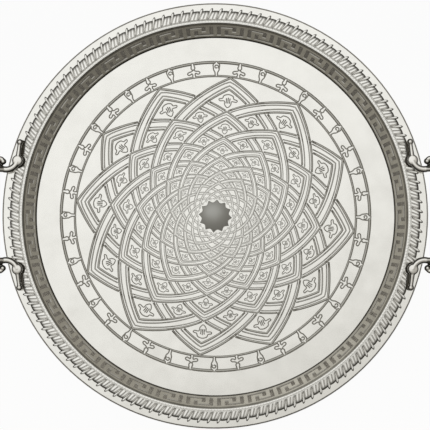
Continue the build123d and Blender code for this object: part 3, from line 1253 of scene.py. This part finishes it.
@dataclass
class Handle:
    """A cast handle: two arms that scroll over the rim, and a bow between them.

    The boss on a foot has a plinth, a neck, a shoulder and a dome. Its neck and shoulder are given as a share
    of its radius and a height, up from the rim and down from the bar's centre line, and its dome as shares of
    its radius and of its crown. An arm's balls are drawn from their lower to their upper angle, in degrees.
    """

    foot_setback: float = 7.4
    foot_spread: float = 90.6
    arm_height: float = 6.8
    boss_radius: float = 4.7
    boss_crown: float = 2.6
    boss_plinth: float = 2.0
    boss_neck: Pair = (0.82, 3.4)
    boss_shoulder: Pair = (0.98, 1.2)
    boss_dome: Outline = ((1.0, 0.1), (0.93, 0.72), (0.72, 0.93), (0.36, 0.98), (0.08, 1.0))
    boss_sides: int = 32
    ball_angles: Pair = (-85.0, 85.0)
    ball_squash: float = 0.85
    ball_rings: int = 13
    ball_sides: int = 24
    scroll_radius: float = 9.75
    scroll_start: float = 193.0
    scroll_turn: float = 128.0
    scroll_bar: float = 2.75
    scroll_steps: int = 26
    volute_radius: float = 4.3
    volute_turn: float = 205.0
    volute_shrink: float = 0.42
    volute_bar: float = 1.6
    volute_steps: int = 30
    eye_radius: float = 2.7
    eye_flatness: float = 2.0
    spur_length: float = 15.4
    spur_splay: float = 7.0
    spur_bar: float = 2.1
    spur_neck: float = 1.8
    spur_taper: Pair = (0.2, 0.8)
    spur_ball: float = 2.7
    spur_steps: int = 24
    flatness: float = 2.3
    painted_flank_shade: float = 1.0
    side_slope: Pair = (0.84, 0.99)
    side_foot: Pair = (0.1, 0.4)
    hollow_depth: Pair = (0.0, 0.12)
    hollow_passes: int = 3
    bow_reach: float = 35.0
    bow_rise: float = 12.0
    bow_bar: float = 2.95
    bow_thinning: float = 0.7
    bow_taper: Pair = (0.35, 1.0)
    bow_corner: float = 18.0
    bow_half_angle: float = 35.0
    leg_steps: int = 10
    corner_steps: int = 16
    crown_steps: int = 18
    sides: int = 20
    voxel: float = 0.42
    ease_factor: float = 0.5
    ease_passes: int = 4

    def foot(self, rim_radius: float) -> np.ndarray:
        """Gives the place of the foot on the right, away from the near side."""
        end = self.foot_spread / 2
        return np.array([math.sqrt((rim_radius - self.foot_setback) ** 2 - end**2), end])

    def scroll_path(self, foot: np.ndarray, level: float) -> tuple[np.ndarray, np.ndarray]:
        """Draws the scroll and the volute that it turns into.

        Args:
            foot: Place of the foot.
            level: Height of the bar's centre line.

        Returns:
            Points of the centre line, and the bar's radius at each.
        """
        start = math.radians(self.scroll_start)
        centre = foot - self.scroll_radius * on_circle(start)
        turn = start + np.radians(np.linspace(0.0, self.scroll_turn, self.scroll_steps))
        arc = centre + self.scroll_radius * on_circle(turn)
        inner = centre + (self.scroll_radius - self.volute_radius) * on_circle(turn[-1])
        curl = turn[-1] + np.radians(np.linspace(0.0, self.volute_turn, self.volute_steps))[1:]
        shrink = np.linspace(1.0, self.volute_shrink, self.volute_steps)[1:]
        volute = inner + self.volute_radius * shrink[:, None] * on_circle(curl)
        flat = np.concatenate([arc, volute])
        radii = np.concatenate([
            np.full(self.scroll_steps, self.scroll_bar),
            np.linspace(self.scroll_bar, self.volute_bar, self.volute_steps)[1:],
        ])
        return np.concatenate([flat, np.full((len(flat), 1), level)], axis=1), radii

    def bow_path(self, rim_radius: float, foot: np.ndarray, level: float) -> np.ndarray:
        """Draws the centre line of the bow, which leaves the scrolls and rises outwards.

        Args:
            rim_radius: Outer radius of the rim.
            foot: Place of the foot.
            level: Height at which the bow leaves the scrolls.

        Returns:
            Points of the centre line.
        """
        start = math.radians(self.scroll_start)
        scroll_x = foot[0] - self.scroll_radius * math.cos(start)
        half_width = foot[1] - self.scroll_radius * math.sin(start) - self.scroll_radius
        run = rim_radius + self.bow_reach - scroll_x
        length = math.hypot(run, self.bow_rise)
        angle = math.radians(self.bow_half_angle)
        crown = self.bow_corner + (half_width - self.bow_corner) / math.sin(angle)
        leg = length - crown * (1.0 - math.cos(angle)) - self.bow_corner * math.cos(angle)
        out = np.linspace(0.0, leg, self.leg_steps)[:-1]
        straight = np.stack([out, np.full(len(out), half_width)], axis=1)
        bend = np.linspace(math.pi / 2, angle, self.corner_steps)
        corner = np.array([leg, half_width - self.bow_corner]) + self.bow_corner * on_circle(bend)
        sweep = np.linspace(angle, 0.0, self.crown_steps)[1:]
        top = np.array([length - crown, 0.0]) + crown * on_circle(sweep)
        half = np.concatenate([straight, corner, top])
        flat = np.concatenate([half, half[-2::-1] * (1.0, -1.0)])
        return np.stack([
            scroll_x + flat[:, 0] * run / length,
            flat[:, 1],
            level + flat[:, 0] * self.bow_rise / length,
        ], axis=1)

    def boss(self, rim_level: float, level: float) -> list[Pair]:
        """Draws the profile of the boss on a foot.

        Args:
            rim_level: Height of the rim's face.
            level: Height of the bar's centre line.

        Returns:
            Radius and height of each point, from the bottom up.
        """
        neck, neck_height = self.boss_neck
        shoulder, shoulder_drop = self.boss_shoulder
        profile = [
            (1.0, rim_level),
            (1.0, rim_level + self.boss_plinth),
            (neck, rim_level + neck_height),
            (shoulder, level - shoulder_drop),
            *((share, level + self.boss_crown * rise) for share, rise in self.boss_dome),
        ]
        return [(self.boss_radius * share, height) for share, height in profile]

    def add_ball(self, batch: MeshBatch, radius: float, centre: np.ndarray, flatness: float) -> None:
        """Adds a squat ball at the end of a bar.

        Args:
            batch: Where the forms are gathered.
            radius: Its radius.
            centre: Its middle.
            flatness: 2 for a round form, and more for a flatter one.
        """
        rings = np.radians(np.linspace(*self.ball_angles, self.ball_rings))
        wide, high = squared_circle(rings, flatness)
        profile = np.stack([radius * wide, centre[2] + self.ball_squash * radius * high], axis=1)
        batch.add_turned(profile, centre[:2], self.ball_sides)

    def add_arm(self, batch: MeshBatch, rim_radius: float, rim_level: float, end: float) -> None:
        """Adds one arm: its foot, spur, scroll and eye.

        Args:
            batch: Where the forms are gathered.
            rim_radius: Outer radius of the rim.
            rim_level: Height of the rim's face.
            end: 1 for the far arm, -1 for the near one.
        """
        flip = np.array([1.0, end, 1.0])
        foot = self.foot(rim_radius)
        level = rim_level + self.arm_height
        batch.add_turned(self.boss(rim_level, level), foot * flip[:2], self.boss_sides)
        path, radii = self.scroll_path(foot, level)
        batch.add_tube(path * flip, radii, self.sides, self.flatness)
        self.add_ball(batch, self.eye_radius, path[-1] * flip, self.eye_flatness)
        reach = np.linspace(0.0, 1.0, self.spur_steps)
        start, stop = self.spur(foot)
        flat = start + (stop - start) * reach[:, None]
        spur = np.concatenate([flat, np.full((self.spur_steps, 1), level)], axis=1)
        bar = self.spur_bar - (self.spur_bar - self.spur_neck) * smooth_step(reach, *self.spur_taper)
        batch.add_tube(spur * flip, bar, self.sides, self.flatness)
        self.add_ball(batch, self.spur_ball, spur[-1] * flip, self.flatness)

    def spur(self, foot: np.ndarray) -> np.ndarray:
        """Gives the start and the end of the spur that leaves a foot along the rim."""
        splay = math.radians(self.spur_splay)
        return np.stack([foot, foot + self.spur_length * np.array([-math.sin(splay), math.cos(splay)])])

    def spurs(self, rim_radius: float) -> np.ndarray:
        """Gives the start and the end of all four spurs."""
        spur = self.spur(self.foot(rim_radius))
        return np.array([spur * (side, end) for side in (1.0, -1.0) for end in (1.0, -1.0)])

    def cast(self, piece: bpy.types.Object) -> None:
        """Fuses the forms of a handle into one smooth casting.

        Args:
            piece: The handle, still as separate forms.
        """
        fuse = piece.modifiers.new("cast", "REMESH")
        fuse.mode = "VOXEL"
        fuse.voxel_size = self.voxel * MM
        ease = piece.modifiers.new("ease", "SMOOTH")
        ease.factor = self.ease_factor
        ease.iterations = self.ease_passes
        graph = bpy.context.evaluated_depsgraph_get()
        mesh = bpy.data.meshes.new_from_object(piece.evaluated_get(graph))
        piece.modifiers.clear()
        finish = piece.data.materials[0]
        piece.data = mesh
        if not mesh.materials:
            mesh.materials.append(finish)
        mesh.shade_smooth()

    def tarnish(self, mesh: bpy.types.Mesh) -> None:
        """Marks the hollows of a casting, where polish doesn't reach, and paints shade on the sloping flanks
        of its bars.

        Args:
            mesh: Mesh of the casting.
        """
        count = len(mesh.vertices)
        place, normal = np.zeros((2, count * 3))
        mesh.vertices.foreach_get("co", place)
        mesh.vertices.foreach_get("normal", normal)
        place, normal = place.reshape(-1, 3), normal.reshape(-1, 3)
        ends = np.zeros(len(mesh.edges) * 2, int)
        mesh.edges.foreach_get("vertices", ends)
        ends = ends.reshape(-1, 2).T
        both_ways = (ends, ends[::-1])
        pull, neighbours = np.zeros((count, 3)), np.zeros(count)
        for near, far in both_ways:
            np.add.at(pull, near, place[far] - place[near])
            np.add.at(neighbours, near, 1.0)
        neighbours = np.maximum(neighbours, 1.0)
        hollow = np.einsum("ij,ij->i", pull, normal) / neighbours / (self.voxel * MM)
        for _ in range(self.hollow_passes):
            around = np.zeros(count)
            for near, far in both_ways:
                np.add.at(around, near, hollow[far])
            hollow = 0.5 * hollow + 0.5 * around / neighbours
        slope = normal[:, 2]
        # Painted shade on the bars' sloping flanks, leaving a bright crest and clean upright sides.
        painted_flank = smooth_step(slope, *self.side_foot) * (1.0 - smooth_step(slope, *self.side_slope))
        set_tarnish_and_shade(mesh, np.maximum(self.painted_flank_shade * painted_flank, smooth_step(hollow, *self.hollow_depth)))

    def build(self, rim_radius: float, rim_level: float) -> None:
        """Builds the right handle and its mirror image on the left.

        Args:
            rim_radius: Outer radius of the rim, in millimetres.
            rim_level: Height of the rim's face.
        """
        foot = self.foot(rim_radius)
        bow = self.bow_path(rim_radius, foot, rim_level + self.arm_height)
        share = np.abs(np.linspace(-1.0, 1.0, len(bow)))
        bar = self.bow_bar - self.bow_thinning * smooth_step(share, *self.bow_taper)
        for name, side in (("right_handle", 1.0), ("left_handle", -1.0)):
            batch = MeshBatch()
            for end in (1.0, -1.0):
                self.add_arm(batch, rim_radius, rim_level, end)
            batch.add_tube(bow, bar, self.sides, self.flatness)
            if side < 0:
                batch.points = [points * (-1.0, 1.0, 1.0) for points in batch.points]
                batch.faces = [face[::-1] for face in batch.faces]
            piece = batch.make(f"{name}_casting", Finishes.handle, [name])
            self.cast(piece)
            self.tarnish(piece.data)


@dataclass
class PlainPieces:
    """The pieces whose CAD form is right as it is, and gets only its finish."""

    finishes: dict[str, SilverFinish] = field(default_factory=lambda: {
        "base_plate": Finishes.floor,
        "foot_ring": Finishes.floor,
        "rim_flange": Finishes.rim,
        "handle_screws": Finishes.screw,
    })

    def dress(self) -> None:
        """Gives each of these nodes its finish."""
        for name, finish in self.finishes.items():
            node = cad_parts[name]
            node.data.materials.clear()
            node.data.materials.append(finish.material())
            LOG.info("%s: %s", name, finish.name)


@dataclass
class Studio:
    """The pale floor, the light round the tray and the camera above it.

    Angles are in degrees. An axis is given by its azimuth and its lean from upright, and a tone of the room
    by how far from its bright pole it lies and how bright it is there.
    """

    floor_half: float = 20000.0
    floor_drop: float = 0.2
    floor_roughness: float = 0.9
    # Painted shade under the tray, darker on the far side.
    far_colour: Colour = (0.26, 0.245, 0.217)
    near_colour: Colour = (0.52, 0.49, 0.435)
    colour_reach: float = 150.0
    floor_white: float = 0.96
    white_from: Pair = (168.0, 182.0)
    bright_pole: Pair = (115.0, 20.0)
    room_tones: tuple[Pair, ...] = (
        (110.0, 0.03),
        (80.0, 0.03),
        (73.0, 0.16),
        (66.0, 0.27),
        (43.0, 0.38),
        (29.0, 0.44),
        (24.7, 0.72),
        (22.5, 0.85),
        (16.0, 0.94),
    )
    warm_tint: Colour = (1.0, 0.94, 0.82)
    cool_tint: Colour = (1.0, 1.0, 0.98)
    horizon: Pair = (61.0, 69.0)
    horizon_tone: float = 0.72
    lamp_power: float = 8.0
    lamp_place: tuple[float, float, float] = (-300.0, 300.0, 1600.0)
    lamp_size: float = 1400.0
    view_scale: float = 0.83584
    view_height: float = 1461.0
    view_tilt: Pair = (0.8, -2.0)
    view_target: Pair = (0.1, 0.0)
    view_depth: Pair = (50.0, 50000.0)

    def floor_material(self) -> bpy.types.Material:
        """Makes the floor's material.

        Under the tray it is matt, and its dark colour is painted shade, deeper on the far side. Clear of the
        tray it shows almost white to the camera and in the silver, and keeps a faint shadow.

        Returns:
            The material.
        """
        material = bpy.data.materials.new("studio floor")
        material.use_nodes = True
        nodes = material.node_tree.nodes
        bench = NodeBench(material.node_tree)
        place = bench.add("TexCoord").outputs["Object"]
        parts = bench.add("SeparateXYZ", {"Vector": place})
        side = bench.add("MapRange", {
            "Value": parts.outputs["Y"],
            "From Min": self.colour_reach * MM,
            "From Max": -self.colour_reach * MM,
        })
        colour = bench.add(
            "Mix",
            {"Factor": side.outputs["Result"], "A": (*self.far_colour, 1.0), "B": (*self.near_colour, 1.0)},
            data_type="RGBA",
        )
        matt = nodes["Principled BSDF"]
        bench.feed(matt, {"Base Color": colour.outputs["Result"], "Roughness": self.floor_roughness})
        reach = bench.add("VectorMath", {0: place}, operation="LENGTH")
        clear = bench.add(
            "MapRange",
            {
                "Value": reach.outputs["Value"],
                "From Min": self.white_from[0] * MM,
                "From Max": self.white_from[1] * MM,
                "To Max": self.floor_white,
            },
            interpolation_type="SMOOTHSTEP",
        )
        ray = bench.add("LightPath").outputs
        seen = bench.add("Math", {0: ray["Is Camera Ray"], 1: ray["Is Glossy Ray"]}, operation="MAXIMUM")
        amount = bench.add(
            "Math",
            {0: seen.outputs["Value"], 1: clear.outputs["Result"]},
            operation="MULTIPLY",
        )
        glow = bench.add("Emission")
        blend = bench.add("MixShader", {
            "Fac": amount.outputs["Value"],
            1: matt.outputs["BSDF"],
            2: glow.outputs["Emission"],
        })
        bench.feed(nodes["Material Output"], {"Surface": blend.outputs["Shader"]})
        return material

    def lay_floor(self) -> None:
        """Lays a wide floor under the tray."""
        mesh = bpy.data.meshes.new("studio_floor")
        half = self.floor_half * MM
        corners = [(-half, -half, 0.0), (half, -half, 0.0), (half, half, 0.0), (-half, half, 0.0)]
        mesh.from_pydata(corners, [], [(0, 1, 2, 3)])
        mesh.materials.append(self.floor_material())
        floor = bpy.data.objects.new("studio_floor", mesh)
        floor.location.z = -self.floor_drop * MM
        bpy.context.scene.collection.objects.link(floor)

    def tinted(self, tone: float) -> tuple[float, float, float, float]:
        """Gives the colour of a tone of the room, which is warmer the darker it is."""
        tint = [warm + (cool - warm) * tone for warm, cool in zip(self.warm_tint, self.cool_tint)]
        return (*(tone * part for part in tint), 1.0)

    @staticmethod
    def towards(bench: NodeBench, axis: Pair) -> bpy.types.NodeSocket:
        """Adds the nodes that measure how near a direction lies to an axis.

        Args:
            bench: Where the light is made.
            axis: The axis.

        Returns:
            The cosine of the angle between them.
        """
        azimuth, lean = (math.radians(angle) for angle in axis)
        place = bench.add("TexCoord")
        arrow = polar(math.sin(lean), azimuth, math.cos(lean)).tolist()
        dot = bench.add("VectorMath", {0: place.outputs["Generated"], 1: arrow}, operation="DOT_PRODUCT")
        return dot.outputs["Value"]

    def light_room(self) -> None:
        """Lights the room: bright overhead, dark further down and paler again round the horizon."""
        world = bpy.data.worlds.new("studio")
        bpy.context.scene.world = world
        world.use_nodes = True
        bench = NodeBench(world.node_tree)
        share = bench.add("MapRange", {"Value": self.towards(bench, self.bright_pole), "From Min": -1.0})
        ramp = bench.add("ValToRGB", {"Fac": share.outputs["Result"]})
        stops = ramp.color_ramp.elements
        while len(stops) < len(self.room_tones):
            stops.new(0.5)
        for stop, (away, tone) in zip(stops, self.room_tones):
            stop.position = 0.5 + 0.5 * math.cos(math.radians(away))
            stop.color = self.tinted(tone)
        start, full = (math.cos(math.radians(away)) for away in self.horizon)
        low = bench.add(
            "MapRange",
            {"Value": self.towards(bench, UPRIGHT), "From Min": start, "From Max": full},
            interpolation_type="SMOOTHSTEP",
        )
        pale = self.tinted(self.horizon_tone)
        blend = bench.add(
            "Mix",
            {"Factor": low.outputs["Result"], "A": ramp.outputs["Color"], "B": pale},
            data_type="RGBA",
        )
        bench.feed(world.node_tree.nodes["Background"], {"Color": blend.outputs["Result"]})

    def hang_lamp(self) -> None:
        """Hangs a soft lamp over the tray, which the silver doesn't mirror."""
        lamp = bpy.data.lights.new("soft overhead lamp", "AREA")
        lamp.energy = self.lamp_power
        lamp.size = self.lamp_size * MM
        holder = bpy.data.objects.new("soft overhead lamp", lamp)
        holder.location = Vector(self.lamp_place) * MM
        holder.rotation_euler = (-holder.location).to_track_quat("-Z", "Y").to_euler()
        holder.visible_glossy = False
        bpy.context.scene.collection.objects.link(holder)

    def aim_camera(self, floor: float, rim_level: float) -> None:
        """Places the camera almost straight above the tray.

        Args:
            floor: Height of the tray's floor, in millimetres.
            rim_level: Height of its rim.
        """
        lens = bpy.data.cameras.new("camera")
        camera = bpy.data.objects.new("camera", lens)
        distance = floor + self.view_height - rim_level
        aside, back = (math.radians(angle) for angle in self.view_tilt)
        target = Vector((*self.view_target, rim_level)) * MM
        direction = Vector((math.sin(aside), math.sin(back), 1.0)).normalized()
        camera.location = target + direction * distance * MM
        right = Vector((0.0, 1.0, 0.0)).cross(direction).normalized()
        camera.rotation_euler = Matrix((right, direction.cross(right), direction)).transposed().to_euler()
        frame_width = self.view_scale * PHOTO_PIXELS
        lens.lens = lens.sensor_width * distance / frame_width
        lens.clip_start, lens.clip_end = (depth * MM for depth in self.view_depth)
        bpy.context.scene.collection.objects.link(camera)
        bpy.context.scene.camera = camera
        bpy.context.scene.view_settings.view_transform = "Standard"


def main() -> None:
    """Builds the tray's pieces in order, then the studio."""
    logging.basicConfig(level=logging.INFO, format="%(name)s: %(message)s")
    floor = level_of("base_plate")
    rim_level = level_of("bead_wire", top=False)
    rim_radius = outer_radius_of("rim_flange")
    handle = Handle()
    border_top, border_radius = level_of("gadroon_border"), outer_radius_of("gadroon_border")

    PlainPieces().dress()
    Rosette().build(floor)
    MotifRing().build(floor)
    Gallery().build(floor, level_of("gallery_band"))
    BeadWire().build(rim_level, outer_radius_of("bead_wire"))
    GadroonBorder().build(rim_level, border_top, border_radius, handle.spurs(rim_radius))
    handle.build(rim_radius, rim_level)

    studio = Studio()
    studio.lay_floor()
    studio.light_room()
    studio.hang_lamp()
    studio.aim_camera(floor, rim_level)


if __name__ == "__main__":
    main()
